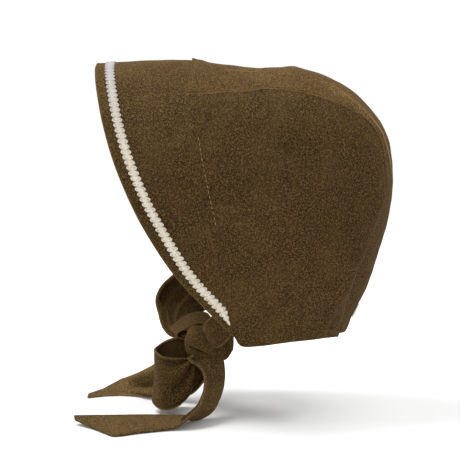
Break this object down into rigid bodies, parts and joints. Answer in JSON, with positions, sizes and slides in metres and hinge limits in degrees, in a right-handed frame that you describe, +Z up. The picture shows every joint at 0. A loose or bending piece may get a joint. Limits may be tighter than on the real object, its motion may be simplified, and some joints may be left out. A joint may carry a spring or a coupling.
{
  "type": "bonnet",
  "caption": "Cloth bonnet with a long tapering brim edged with scalloped braid, a rounded crown with a centre panel, and wide ties knotted in a bow under the chin.",
  "frame": {"origin": "where the top of the head carries the bonnet, under the inner top of the crown on the middle plane", "axes": "+X towards the wearer's left, -Y forward to the face opening, +Y to the back of the head, +Z up"},
  "size_m": [0.1823, 0.2508, 0.2779],
  "materials": {
    "wool_cloth": "matte heathered olive-brown wool",
    "braid": "matte cream cotton braid",
    "label_cloth": "plain pale woven tape"
  },
  "bodies": {
    "root": {"brim": "wool_cloth", "lace_trim": "braid", "crown_center_panel": "wool_cloth", "crown_side_left": "wool_cloth", "crown_side_right": "wool_cloth", "tie_strap_left": "wool_cloth", "tie_strap_right": "wool_cloth", "bow_knot": "wool_cloth", "bow_loop_front": "wool_cloth", "bow_loop_back": "wool_cloth", "tie_tail_long": "wool_cloth", "tie_tail_short": "wool_cloth", "back_label": "label_cloth"}
  },
  "joints": []
}
